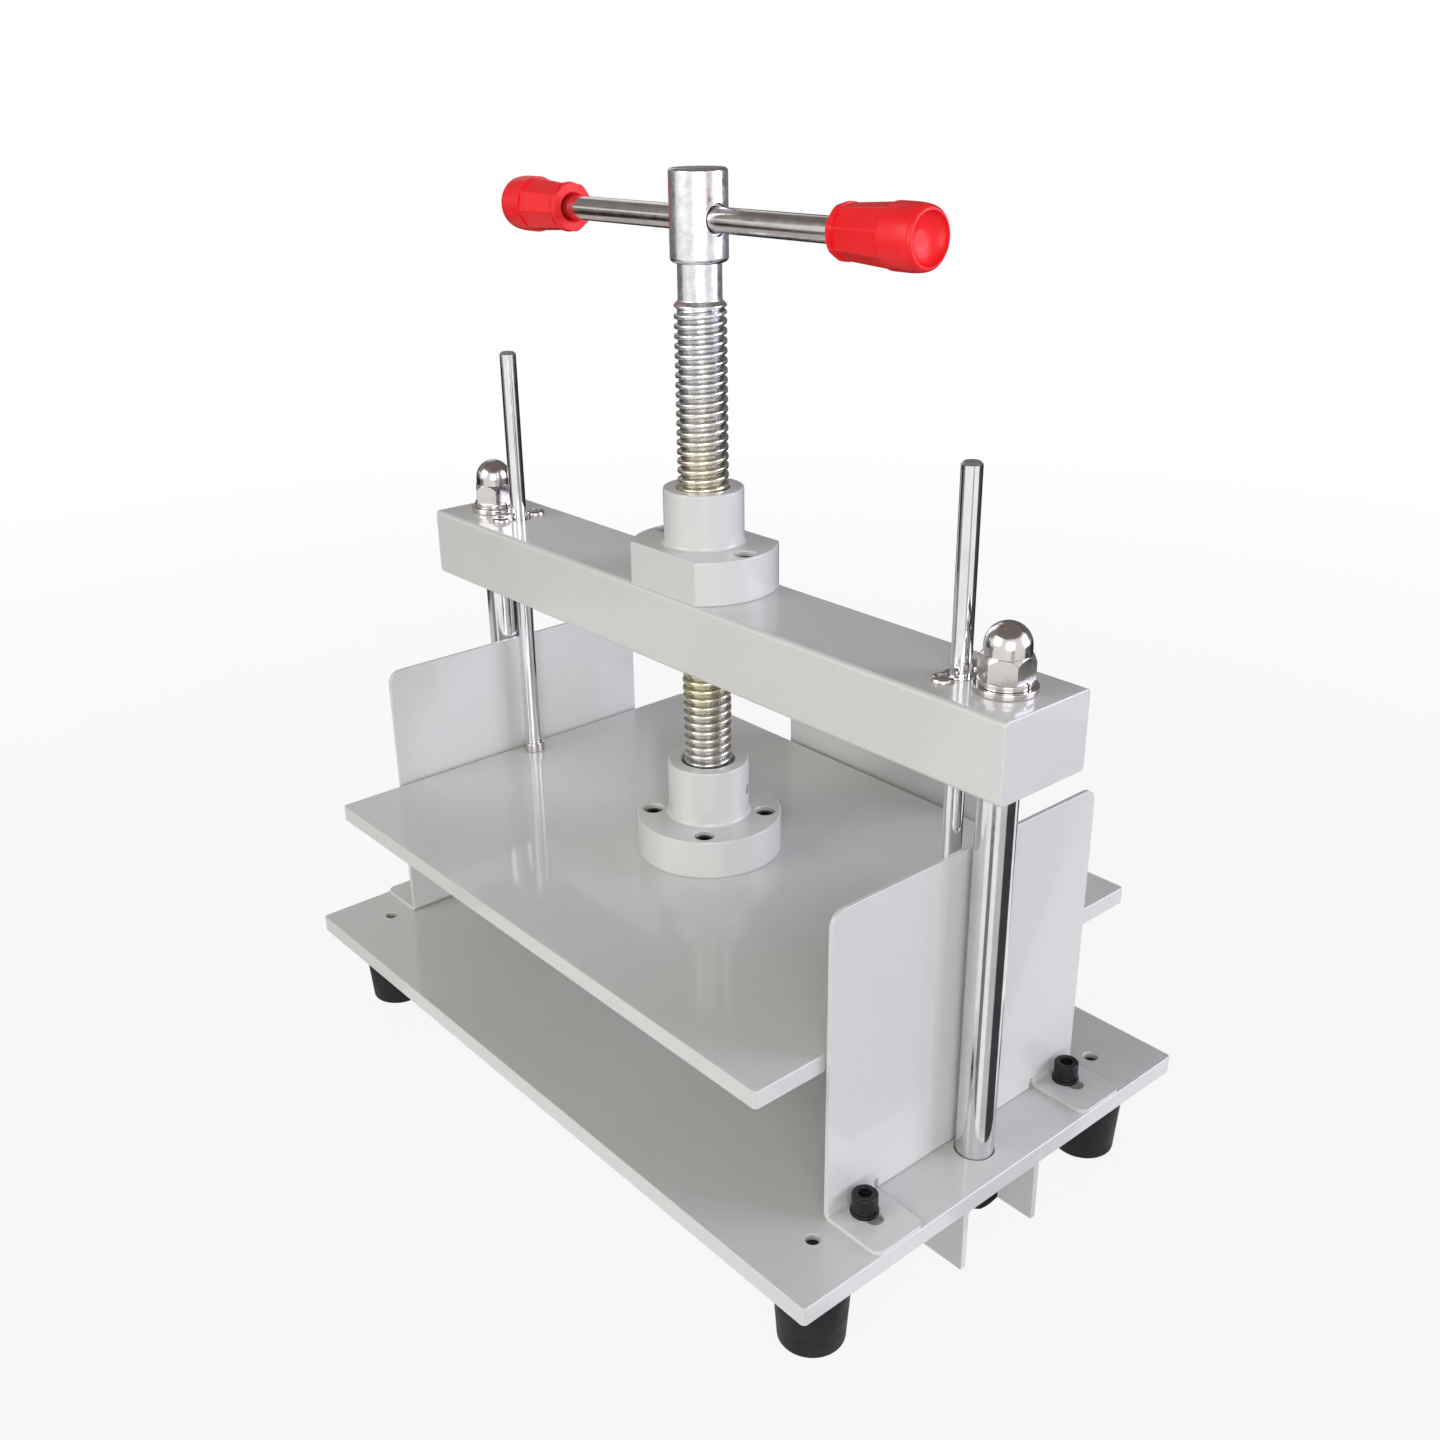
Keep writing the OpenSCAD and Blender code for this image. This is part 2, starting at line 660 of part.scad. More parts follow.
module guard_left() mirror([1, 0, 0]) side_guard();
module guard_right() side_guard();

module guard_back() color(paint) difference() {
    translate([0, base_d / 2 + guard_t, foot_h]) rotate([90, 0, 0]) linear_extrude(guard_t)
        guard_outline(back_guard_w, base_t + guard_h);
    both_x(back_screw_x) translate([0, base_d / 2 + guard_t, foot_h + base_t / 2]) rotate([90, 0, 0])
        bore(back_screw_d + 2 * fit_gap, 0, guard_t);
}

module back_guard_screws() color(black_oxide) both_x(back_screw_x)
    translate([0, base_d / 2 + guard_t, foot_h + base_t / 2]) rotate([-90, 0, 0])
    pan_screw(back_screw_d, guard_t + back_screw_reach, back_head_d, back_head_h);

module platen() color(paint) difference() {
    translate([0, 0, platen_z]) linear_extrude(platen_t)
        soft_square([platen_l, platen_d], platen_corner_r);
    both_x(rod_x) translate([0, 0, platen_z + platen_skin])
        cylinder(d = rod_d + 2 * fit_gap, h = platen_t);
    for (turn = hub_screw_turns) rotate([0, 0, turn]) translate([hub_screw_r, 0, platen_z + platen_skin])
        cylinder(d = flange_screw_d + 2 * fit_gap, h = platen_t);
}

module guide_rod(side, top) color(ground_steel) translate([side * rod_x, 0, platen_z + platen_skin]) {
    h = top - platen_z - platen_skin;
    cylinder(d = rod_d, h = h - rod_chamfer);
    translate([0, 0, h - rod_chamfer])
        cylinder(d1 = rod_d, d2 = rod_d - 2 * rod_chamfer, h = rod_chamfer);
}
module guide_rod_left() guide_rod(-1, rod_top + rod_left_more);
module guide_rod_right() guide_rod(1, rod_top);

module rod_collars() color(chrome) both_x(rod_x) translate([0, 0, platen_top])
    ring(collar_d, rod_d + 2 * fit_gap, collar_h);

// Children turned to the set screw's direction, Z pointing outwards from the spindle's axis
module set_screw_place() translate([0, 0, set_screw_z]) rotate([0, 90, set_screw_turn]) children();

module bearing_hub() color(paint) {
    mouth_d = thread_d + 2 * mouth_gap;
    bore_d = journal_d + 2 * run_gap;
    difference() {
        translate([0, 0, platen_top]) rotate_extrude() polygon(concat([[bore_d / 2, 0]],
            flanged_boss(mouth_d, hub_flange_d, hub_flange_h, hub_boss_d, hub_h),
            [[mouth_d / 2, hub_h - mouth_h], [bore_d / 2, hub_h - mouth_h]]));
        for (turn = hub_screw_turns) rotate([0, 0, turn]) translate([hub_screw_r, 0, platen_top])
            flange_screw_hole(hub_flange_h);
        set_screw_place() cylinder(d = set_screw_d + 2 * fit_gap, h = hub_boss_d);
    }
}

module hub_screws() color(black_oxide) for (turn = hub_screw_turns) rotate([0, 0, turn])
    translate([hub_screw_r, 0, platen_top]) flange_screw(hub_flange_h, platen_t - platen_skin);

module set_screw() color(black_oxide) {
    tip_r = journal_d / 2 - groove_depth / 2;
    end_r = hub_boss_d / 2 - set_screw_sink;
    set_screw_place() difference() {
        union() {
            translate([0, 0, journal_d / 2 + ease_r])
                cylinder(d = set_screw_d, h = end_r - journal_d / 2 - ease_r);
            translate([0, 0, tip_r]) cylinder(d = set_screw_d - 2 * ease_r, h = end_r - tip_r);
        }
        translate([0, 0, end_r - socket_depth])
            cylinder(d = set_screw_d * socket_share / cos(30), h = socket_depth + cut, $fn = 6);
    }
}

module thrust_pad() color(brass) translate([0, 0, platen_top]) cylinder(d = journal_d, h = pad_t);

// Thread from z = 0 to h, turned as one ridge of its profile for each turn
module thread(h) {
    turns = floor(h / thread_lead);
    root_r = thread_d / 2 - thread_depth;
    ridge_h = 2 * thread_flank + thread_crest;
    profile = [[root_r, 0], [thread_d / 2, thread_flank], [thread_d / 2, thread_flank + thread_crest],
        [root_r, ridge_h]];
    ridges = [for (i = [0:turns - 1]) for (p = profile) p + [0, (i + 1) * thread_lead - ridge_h]];
    rotate_extrude() polygon(concat([[0, 0], [root_r, 0]], ridges, [[root_r, h], [0, h]]));
}

module lead_screw() color(zinc) {
    journal_z = platen_top + pad_t;
    groove_h = set_screw_d;
    shoulder_z = neck_z - shoulder_h;
    difference() {
        translate([0, 0, journal_z]) cylinder(d = journal_d, h = thread_z - journal_z + cut);
        translate([0, 0, set_screw_z - groove_h / 2])
            ring(journal_d + 2 * cut, journal_d - 2 * groove_depth, groove_h);
    }
    translate([0, 0, thread_z]) thread(shoulder_z - thread_z);
    translate([0, 0, shoulder_z]) cylinder(d = thread_d, h = ease_r);
    translate([0, 0, shoulder_z + ease_r])
        cylinder(d1 = thread_d, d2 = neck_d, h = shoulder_h - ease_r);
    translate([0, 0, shoulder_z]) cylinder(d = neck_d, h = head_z - shoulder_z + cut);
    difference() {
        translate([0, 0, head_z]) rotate_extrude()
            polygon(concat([[0, 0]], arc([head_d / 2 - head_low_r, head_low_r], head_low_r, -90, 0),
                [[head_d / 2, head_h - head_top_c], [head_d / 2 - head_top_c, head_h], [0, head_h]]));
        translate([0, 0, bar_z]) rotate([0, 90, 0]) {
            hole_d = bar_d + 2 * bar_gap;
            cylinder(d = hole_d, h = 2 * head_d, center = true);
            for (s = [0, 1]) mirror([0, 0, s]) translate([0, 0, head_d / 2 - 2 * bar_sink])
                cylinder(d1 = hole_d - 2 * bar_sink, d2 = hole_d + 4 * bar_sink, h = 3 * bar_sink);
        }
    }
}

module handle_bar() color(chrome) translate([bar_shift, 0, bar_z]) rotate([0, 90, 0])
    cylinder(d = bar_d, h = bar_l, center = true);

// Half section of a grip along +Z, its inner end at z = 0
module grip_section() {
    hole_r = bar_d / 2 + fit_gap;
    in_r = grip_in_d / 2;
    out_r = grip_out_d / 2;
    band_r = grip_d / 2;
    seat = grip_l - grip_end_t;
    dish_r = out_r - grip_rim;
    polygon(concat(
        [[0, seat], [hole_r, seat], [hole_r, grip_mouth_h], [grip_mouth_d / 2, 0]],
        arc([in_r - ease_r, ease_r], ease_r, -90, 0),
        [[in_r, grip_collar_l], [in_r - grip_step, grip_collar_l + grip_step],
            [band_r - grip_step, seat - grip_band_l - grip_step], [band_r, seat - grip_band_l]],
        [for (p = arc([0, 0], 1, 0, grip_end_turn))
            [band_r - (band_r - out_r) * (1 - p.x), seat + (grip_end_t - ease_r) * p.y]],
        [[out_r - ease_r, grip_l]],
        [for (p = arc([0, 0], 1, 0, grip_end_turn)) [dish_r * p.x, grip_l - grip_dish * p.y]],
        [[0, grip_l - grip_dish * sin(grip_end_turn)]]));
}

// Cut for flats around a grip, from height low to high, at distance r from its axis and leaning outwards
module flats(r, lean, low, high) for (i = [1:grip_flats])
    rotate([0, 0, grip_turn + (i + 0.5) * 360 / grip_flats]) translate([r, 0, low]) rotate([0, lean, 0])
    translate([0, -grip_d / 2, 0]) cube([grip_d, grip_d, high - low]);

// Tapered grip along +Z, with flats on its collar and between collar and band
module grip() color(grip_red) difference() {
    in_r = grip_in_d / 2;
    body_z = grip_collar_l + grip_step / 2;
    band_z = grip_l - grip_end_t - grip_band_l - grip_step / 2;
    lean = atan((grip_d - grip_in_d) / 2 / (band_z - body_z));
    rotate_extrude() grip_section();
    flats(in_r - grip_flat, 0, -cut, grip_collar_l);
    flats(in_r - grip_step - grip_flat, lean, body_z, band_z);
}
module grip_at(side) translate([bar_shift + side * (bar_l / 2 - grip_l + grip_end_t), 0, bar_z])
    rotate([0, side * 90, 0]) grip();
module grip_left() grip_at(-1);
module grip_right() grip_at(1);

base_plate();
base_channel();
foot_front_left();
foot_front_right();
foot_back_left();
foot_back_right();
foot_studs();
post_left();
post_right();
low_washers();
low_nuts();
crossbeam();
top_washers();
spring_washers();
cap_nuts();
guide_bush_left();
guide_bush_right();
bush_screws();
screw_nut();
nut_screws();
guard_screws();
guard_washers();
lock_washers();
guard_left();
guard_right();
guard_back();
back_guard_screws();
platen();
guide_rod_left();
guide_rod_right();
rod_collars();
bearing_hub();
hub_screws();
set_screw();
thrust_pad();
lead_screw();
handle_bar();
grip_left();
grip_right();
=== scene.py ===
"""Screw press for flattening paper: the dressed model, in metres, in the frame of the CAD model."""
import json
import math

import bmesh
import bpy
from mathutils import Matrix, Vector


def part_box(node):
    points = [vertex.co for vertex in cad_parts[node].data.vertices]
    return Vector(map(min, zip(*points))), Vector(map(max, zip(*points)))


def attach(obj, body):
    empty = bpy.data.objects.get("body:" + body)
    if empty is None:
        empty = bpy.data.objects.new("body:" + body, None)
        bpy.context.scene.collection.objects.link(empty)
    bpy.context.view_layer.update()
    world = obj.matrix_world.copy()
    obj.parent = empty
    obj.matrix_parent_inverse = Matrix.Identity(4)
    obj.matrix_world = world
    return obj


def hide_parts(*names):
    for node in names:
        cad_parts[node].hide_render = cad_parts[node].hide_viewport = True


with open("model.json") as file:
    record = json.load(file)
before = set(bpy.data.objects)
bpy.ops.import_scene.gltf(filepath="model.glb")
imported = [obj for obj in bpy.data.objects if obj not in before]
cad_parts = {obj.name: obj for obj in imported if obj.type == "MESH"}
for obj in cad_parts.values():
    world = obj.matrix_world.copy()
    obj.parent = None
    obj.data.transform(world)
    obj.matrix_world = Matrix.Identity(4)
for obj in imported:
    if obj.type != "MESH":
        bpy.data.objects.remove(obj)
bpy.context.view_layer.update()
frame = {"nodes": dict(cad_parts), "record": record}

# Camera, fitted to the photograph
CAMERA_PLACE = (0.4803, -0.4015, 0.4569)
CAMERA_YAW = math.radians(49.587)
CAMERA_PITCH = math.radians(23.334)
CAMERA_ROLL = math.radians(-0.81)
CAMERA_LENS = 37.245
SENSOR = 36.0

# Thread of the spindle, right-handed
THREAD_LEAD = 0.004
THREAD_R = 0.011
THREAD_ROOT_R = 0.0095
THREAD_CREST = 0.0013
THREAD_FLANK = 0.0008
THREAD_EDGE = 0.0002
THREAD_SIDES = 96
THREAD_LOW = 0.1633
HEAD_H = 0.036
NECK_H = 0.0147
SHOULDER_H = 0.0026

# Yellow tint: its start and full strength below the thread's top, and its fading above the hub
YELLOW_START = 0.03
YELLOW_FULL = 0.09
YELLOW_FADE = 0.05

# Colour sockets of a Mix node
MIX_COLOURS = slice(6, 8)
MIX_RESULT = 2

# Rounding of edges
SHARP_TURN = math.radians(30)
FLAT_TURN = math.radians(0.5)
WELD = 1e-6
ROUND_STEPS = 3
SPINDLE_EDGE = 0.0003

# Nodes with edges that show, and the width of their rounding
EDGE_WIDTHS = {
    "base_plate": 0.0007,
    "platen": 0.0006,
    "crossbeam": 0.0007,
    "base_channel": 0.0004,
    "guard_left": 0.0003,
    "guard_right": 0.0003,
    "guard_back": 0.0003,
    "screw_nut": 0.0006,
    "bearing_hub": 0.0006,
    "post_left": 0.0004,
    "post_right": 0.0004,
    "top_washers": 0.0004,
    "spring_washers": 0.0004,
    "low_washers": 0.0004,
    "low_nuts": 0.0003,
    "cap_nuts": 0.0005,
    "rod_collars": 0.0005,
    "guard_screws": 0.0003,
    "guard_washers": 0.0003,
    "lock_washers": 0.0003,
    "bush_screws": 0.0002,
    "nut_screws": 0.0003,
    "hub_screws": 0.0003,
    "back_guard_screws": 0.0002,
    "handle_bar": 0.0004,
    "guide_bush_left": 0.0004,
    "guide_bush_right": 0.0004,
}

# Nodes that the CAD model rounds already
GRIPS = ("grip_left", "grip_right")

# Floor and surround
FLOOR_SIZE = 6.0
FLOOR_DROP = 0.0002
FLOOR_GREY = 0.55
FLOOR_WHITE = 0.9
FLOOR_NEAR = 0.5
FLOOR_FAR = 1.4
AMBIENT = 0.3

# Lamps: name, turn and rise in degrees, side of the square, power, tint
LAMP_AIM = Vector((0.0, 0.0, 0.2))
LAMP_DISTANCE = 3.0
WHITE = (1.0, 1.0, 1.0)
LAMPS = (
    ("key", -38, 11, 1.7, 43.0, WHITE),
    ("left_fill", -105, 24, 1.8, 37.0, WHITE),
    ("right_fill", 42, 15, 1.7, 56.0, (0.8, 0.79, 1.0)),
)

# Painted reflections, glowing sheets seen only in reflections: name, turns in degrees, radius and
# height of two circles, shade, X of the circles' middle
RIGHT_ROD_X = 0.147
RIGHT_POST_X = 0.168
RING_R = 0.76
WALL_R = 2.2
REFLECTION_STEPS = 32
PAINTED_REFLECTIONS = (
    ("back_far", (62, 222), (RING_R, 0.0), (WALL_R, 0.0), (0.03, 0.03, 0.03), 0.0),
    ("back_near", (62, 165), (0.2, 0.0), (RING_R, 0.0), (0.03, 0.03, 0.03), 0.0),
    ("left_near", (165, 222), (0.2, 0.0), (RING_R, 0.0), (0.6, 0.57, 0.55), 0.0),
    ("left_far", (222, 246), (0.3, 0.0), (WALL_R, 0.0), (0.25, 0.24, 0.23), 0.0),
    ("right_far", (27, 62), (RING_R, 0.0), (WALL_R, 0.0), (0.06, 0.06, 0.06), 0.0),
    ("right_near", (3, 62), (0.02, 0.0005), (0.6, 0.0005), (0.05, 0.05, 0.055), RIGHT_POST_X),
    ("front_far", (-34, -20), (0.7, 0.0), (1.8, 0.0), (0.45, 0.45, 0.45), RIGHT_ROD_X),
    ("front_near", (-31, 3), (0.08, 0.0), (0.45, 0.0), (0.55, 0.55, 0.55), RIGHT_POST_X),
    ("dark_near", (-76, -56), (0.08, 0.0), (0.45, 0.0), (0.2, 0.2, 0.2), RIGHT_POST_X),
    ("low_wall", (60, 222), (WALL_R, 0.0), (WALL_R, 0.5), (0.2, 0.2, 0.2), 0.0),
    ("middle_wall", (60, 200), (WALL_R, 0.5), (WALL_R, 0.85), (0.2, 0.2, 0.2), 0.0),
    ("back_wall", (60, 143), (WALL_R, 0.85), (WALL_R, 2.2), (0.15, 0.15, 0.15), 0.0),
    ("left_wall", (165, 222), (WALL_R, 0.85), (WALL_R, 2.6), (0.28, 0.27, 0.27), 0.0),
    ("gap_wall", (143, 165), (WALL_R, 0.85), (WALL_R, 1.02), (0.25, 0.23, 0.22), 0.0),
    ("ceiling", (0, 360), (0.0, 1.7), (1.8, 1.7), (0.22, 0.19, 0.18), 0.0),
)

bodies = frame["record"]["behaviour"]["bodies"]
body_of = {node: body for body, nodes in bodies.items() for node in nodes}
slot_of = {part["node"]: part["material_slot"] for part in frame["record"]["subparts"]}


class Shader:
    """A material's node tree, built up in short steps around one Principled shader."""

    def __init__(self, name):
        self.material = bpy.data.materials.new(name)
        self.material.use_nodes = True
        self.nodes = self.material.node_tree.nodes
        self.links = self.material.node_tree.links
        self.principled = self.nodes["Principled BSDF"]
        self.place = self.add("ShaderNodeTexCoord").outputs["Object"]

    def add(self, kind, **values):
        node = self.nodes.new(kind)
        for key, value in values.items():
            setattr(node, key, value)
        return node

    def set(self, **values):
        for key, value in values.items():
            self.principled.inputs[key.replace("_", " ")].default_value = value

    def plug(self, output, socket):
        self.links.new(output, self.principled.inputs[socket])

    def stretched(self, scale):
        mapping = self.add("ShaderNodeMapping")
        mapping.inputs["Scale"].default_value = scale
        self.links.new(self.place, mapping.inputs["Vector"])
        return mapping.outputs["Vector"]

    def noise(self, scale, detail=3.0, roughness=0.5, vector=None):
        node = self.add("ShaderNodeTexNoise")
        node.inputs["Scale"].default_value = scale
        node.inputs["Detail"].default_value = detail
        node.inputs["Roughness"].default_value = roughness
        self.links.new(vector or self.place, node.inputs["Vector"])
        return node.outputs["Fac"]

    def ranged(self, value, low, high, to_low, to_high):
        """The value's range from low to high, mapped to another range and held inside it."""
        node = self.add("ShaderNodeMapRange")
        limits = {"From Min": low, "From Max": high, "To Min": to_low, "To Max": to_high}
        for socket, number in limits.items():
            node.inputs[socket].default_value = number
        self.links.new(value, node.inputs["Value"])
        return node.outputs["Result"]

    def maths(self, operation, first, second):
        node = self.add("ShaderNodeMath", operation=operation)
        for socket, value in zip(node.inputs, (first, second)):
            if isinstance(value, (int, float)):
                socket.default_value = value
            else:
                self.links.new(value, socket)
        return node.outputs["Value"]

    def mixed(self, factor, first, second):
        node = self.add("ShaderNodeMix", data_type="RGBA")
        self.links.new(factor, node.inputs["Factor"])
        for socket, value in zip(node.inputs[MIX_COLOURS], (first, second)):
            if isinstance(value, tuple):
                socket.default_value = (*value, 1.0)
            else:
                self.links.new(value, socket)
        return node.outputs[MIX_RESULT]

    def bump(self, height, strength, distance):
        node = self.add("ShaderNodeBump")
        node.inputs["Strength"].default_value = strength
        node.inputs["Distance"].default_value = distance
        self.links.new(height, node.inputs["Height"])
        self.plug(node.outputs["Normal"], "Normal")

    def along(self, axis):
        node = self.add("ShaderNodeSeparateXYZ")
        self.links.new(self.place, node.inputs["Vector"])
        return node.outputs[axis]

    def radius(self):
        """Distance from the Z axis."""
        squares = [self.maths("MULTIPLY", self.along(axis), self.along(axis)) for axis in ("X", "Y")]
        return self.maths("SQRT", self.maths("ADD", *squares), 0.0)


def paint():
    """Light grey enamel with a glossy skin, a faint orange peel and a slightly uneven tone."""
    middle, light, dark = (0.635, 0.630, 0.605), (0.665, 0.660, 0.640), (0.60, 0.595, 0.575)
    s = Shader("grey_enamel")
    tone = s.ranged(s.noise(9.0, detail=2.0), 0.3, 0.7, 0.0, 1.0)
    fine = s.ranged(s.noise(240.0, detail=2.0), 0.2, 0.8, 0.0, 1.0)
    broad = s.mixed(tone, middle, light)
    s.plug(s.mixed(s.maths("MULTIPLY", fine, 0.3), broad, dark), "Base Color")
    s.plug(s.ranged(s.noise(60.0), 0.25, 0.75, 0.30, 0.40), "Roughness")
    s.bump(s.noise(700.0, detail=2.0), strength=0.08, distance=0.00005)
    s.set(Coat_Weight=0.6, Coat_Roughness=0.07)
    return s.material


def turned_metal(name, light, dark, smooth, rough, grain, lines):
    """Metal with fine lines around the Z axis, clouded tone and uneven gloss."""
    s = Shader(name)
    cloud = s.ranged(s.noise(70.0, detail=6.0, roughness=0.6), 0.32, 0.68, 0.0, 1.0)
    s.plug(s.mixed(cloud, light, dark), "Base Color")
    s.plug(s.ranged(s.noise(240.0, detail=4.0), 0.3, 0.7, smooth, rough), "Roughness")
    s.bump(s.noise(1.0, detail=2.0, vector=s.stretched(lines)), strength=grain, distance=0.00004)
    s.set(Metallic=1.0)
    return s.material


def zinc():
    """Zinc plate with blotches, painted shade in the thread's roots and a yellow tint on the middle of
    the thread.
    """
    light, dull = (0.82, 0.82, 0.83), (0.62, 0.62, 0.64)
    yellow, root_shade = (0.78, 0.69, 0.32), (0.30, 0.28, 0.25)
    s = Shader("zinc_plate")
    cloud = s.ranged(s.noise(150.0, detail=6.0, roughness=0.65), 0.3, 0.7, 0.0, 1.0)
    plate = s.mixed(cloud, light, dull)
    thread_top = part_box("lead_screw")[1][2] - HEAD_H - NECK_H
    z = s.along("Z")
    below_top = s.ranged(z, thread_top - YELLOW_START, thread_top - YELLOW_FULL, 0.0, 0.7)
    above_hub = s.ranged(z, THREAD_LOW, THREAD_LOW + YELLOW_FADE, 0.1, 1.0)
    blotch = s.ranged(s.noise(60.0), 0.3, 0.6, 0.35, 1.0)
    patch = s.maths("MULTIPLY", s.maths("MULTIPLY", below_top, above_hub), blotch)
    tinted = s.mixed(patch, plate, yellow)
    # Painted shade: the thread's roots, below its top, are darkened towards a brownish dark colour
    in_thread = s.ranged(z, thread_top - SHOULDER_H, thread_top - 2 * SHOULDER_H, 0.0, 0.6)
    root = s.ranged(s.radius(), THREAD_ROOT_R, THREAD_R - 2 * THREAD_EDGE, 1.0, 0.0)
    s.plug(s.mixed(s.maths("MULTIPLY", in_thread, root), tinted, root_shade), "Base Color")
    s.plug(s.ranged(s.noise(320.0, detail=4.0), 0.3, 0.7, 0.16, 0.34), "Roughness")
    s.bump(s.noise(420.0, detail=4.0), strength=0.22, distance=0.00008)
    s.set(Metallic=1.0)
    return s.material


def black_oxide():
    """Oiled black oxide on steel screws."""
    oiled, worn = (0.009, 0.009, 0.010), (0.024, 0.024, 0.026)
    s = Shader("black_oxide")
    wear = s.ranged(s.noise(420.0, detail=5.0, roughness=0.6), 0.55, 0.75, 0.0, 1.0)
    s.plug(s.mixed(wear, oiled, worn), "Base Color")
    s.plug(s.ranged(s.noise(300.0), 0.3, 0.7, 0.28, 0.46), "Roughness")
    s.bump(s.noise(1500.0), strength=0.2, distance=0.00004)
    s.set(Specular_IOR_Level=0.3)
    return s.material


def rubber():
    """Matt moulded rubber."""
    clean, dusty = (0.006, 0.0057, 0.0075), (0.014, 0.0135, 0.016)
    s = Shader("black_rubber")
    dust = s.ranged(s.noise(90.0, detail=5.0, roughness=0.6), 0.45, 0.8, 0.0, 1.0)
    s.plug(s.mixed(dust, clean, dusty), "Base Color")
    s.plug(s.ranged(s.noise(200.0), 0.3, 0.7, 0.5, 0.68), "Roughness")
    s.bump(s.noise(1400.0, detail=4.0), strength=0.3, distance=0.00008)
    s.set(Specular_IOR_Level=0.25)
    return s.material


def red_plastic():
    """Moulded red plastic with a soft sheen."""
    bright, deep = (0.90, 0.014, 0.018), (0.84, 0.010, 0.014)
    s = Shader("red_plastic")
    flow = s.ranged(s.noise(45.0), 0.3, 0.7, 0.0, 1.0)
    s.plug(s.mixed(flow, bright, deep), "Base Color")
    s.plug(s.ranged(s.noise(180.0, detail=4.0), 0.3, 0.7, 0.32, 0.46), "Roughness")
    s.bump(s.noise(800.0), strength=0.15, distance=0.00008)
    s.set(Specular_IOR_Level=0.35)
    return s.material


finishes = {
    "painted_plate": paint(),
    "ground_steel": turned_metal("ground_steel", light=(0.86, 0.86, 0.87), dark=(0.74, 0.74, 0.75),
                                 smooth=0.06, rough=0.15, grain=0.12, lines=(60, 60, 6000)),
    "zinc_steel": zinc(),
    "chromed_fasteners": turned_metal("bright_plating", light=(0.70, 0.67, 0.65),
                                      dark=(0.58, 0.55, 0.53), smooth=0.10, rough=0.24, grain=0.1,
                                      lines=(900, 900, 2400)),
    "black_fasteners": black_oxide(),
    "brass": turned_metal("turned_brass", light=(0.74, 0.55, 0.22), dark=(0.62, 0.45, 0.17),
                          smooth=0.15, rough=0.3, grain=0.25, lines=(80, 80, 5000)),
    "black_rubber": rubber(),
    "red_plastic": red_plastic(),
}


def add_mesh(name, shape, material):
    """An object in the scene with the mesh of a bmesh, which is freed."""
    mesh = bpy.data.meshes.new(name)
    shape.to_mesh(mesh)
    shape.free()
    mesh.materials.append(material)
    obj = bpy.data.objects.new(name, mesh)
    bpy.context.scene.collection.objects.link(obj)
    return obj


def smooth(mesh):
    """Smooth shading between the sharp edges."""
    for face in mesh.polygons:
        face.use_smooth = True
    mesh.set_sharp_from_angle(angle=SHARP_TURN)


def welded(node):
    """The CAD node's shape in a new mesh, with each flat face in one piece."""
    shape = bmesh.new()
    shape.from_mesh(frame["nodes"][node].data)
    bmesh.ops.remove_doubles(shape, verts=shape.verts, dist=WELD)
    bmesh.ops.dissolve_limit(shape, angle_limit=FLAT_TURN, verts=shape.verts, edges=shape.edges)
    return shape


def chains(edges):
    """The edges in groups that hang together.

    Each group is rounded by itself, so that a small hole doesn't limit the rounding of other edges.
    """
    waiting = set(edges)
    groups = []
    for start in edges:
        if start not in waiting:
            continue
        waiting.remove(start)
        group = [start]
        for edge in group:
            for vertex in edge.verts:
                joined = [e for e in vertex.link_edges if e in waiting]
                waiting.difference_update(joined)
                group.extend(joined)
        groups.append(group)
    return groups


def rounded(node, width):
    """The CAD node's shape with its sharp edges rounded by the given width."""
    shape = welded(node)
    sharp = [e for e in shape.edges if e.is_manifold and e.calc_face_angle() > SHARP_TURN]
    for chain in chains(sharp):
        left = [e for e in chain if e.is_valid]
        bmesh.ops.bevel(shape, geom=left, offset=width, segments=ROUND_STEPS, profile=0.5,
                        affect="EDGES", clamp_overlap=True)
    return shape


def piece(name, shape, node):
    """A piece made of a bmesh, standing for a CAD node and riding on its body."""
    obj = add_mesh(name, shape, finishes[slot_of[node]])
    smooth(obj.data)
    obj.modifiers.new("even_normals", "WEIGHTED_NORMAL").keep_sharp = True
    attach(obj, body_of[node])
    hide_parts(node)


def thread_profile():
    """Height above the start of a turn and radius, once round the thread's section."""
    crest_low = THREAD_FLANK
    crest_high = THREAD_FLANK + THREAD_CREST
    return [
        (0.0, THREAD_ROOT_R),
        (crest_low - THREAD_EDGE, THREAD_R - THREAD_EDGE),
        (crest_low + THREAD_EDGE, THREAD_R),
        (crest_high - THREAD_EDGE, THREAD_R),
        (crest_high + THREAD_EDGE, THREAD_R - THREAD_EDGE),
        (crest_high + THREAD_FLANK, THREAD_ROOT_R),
    ]


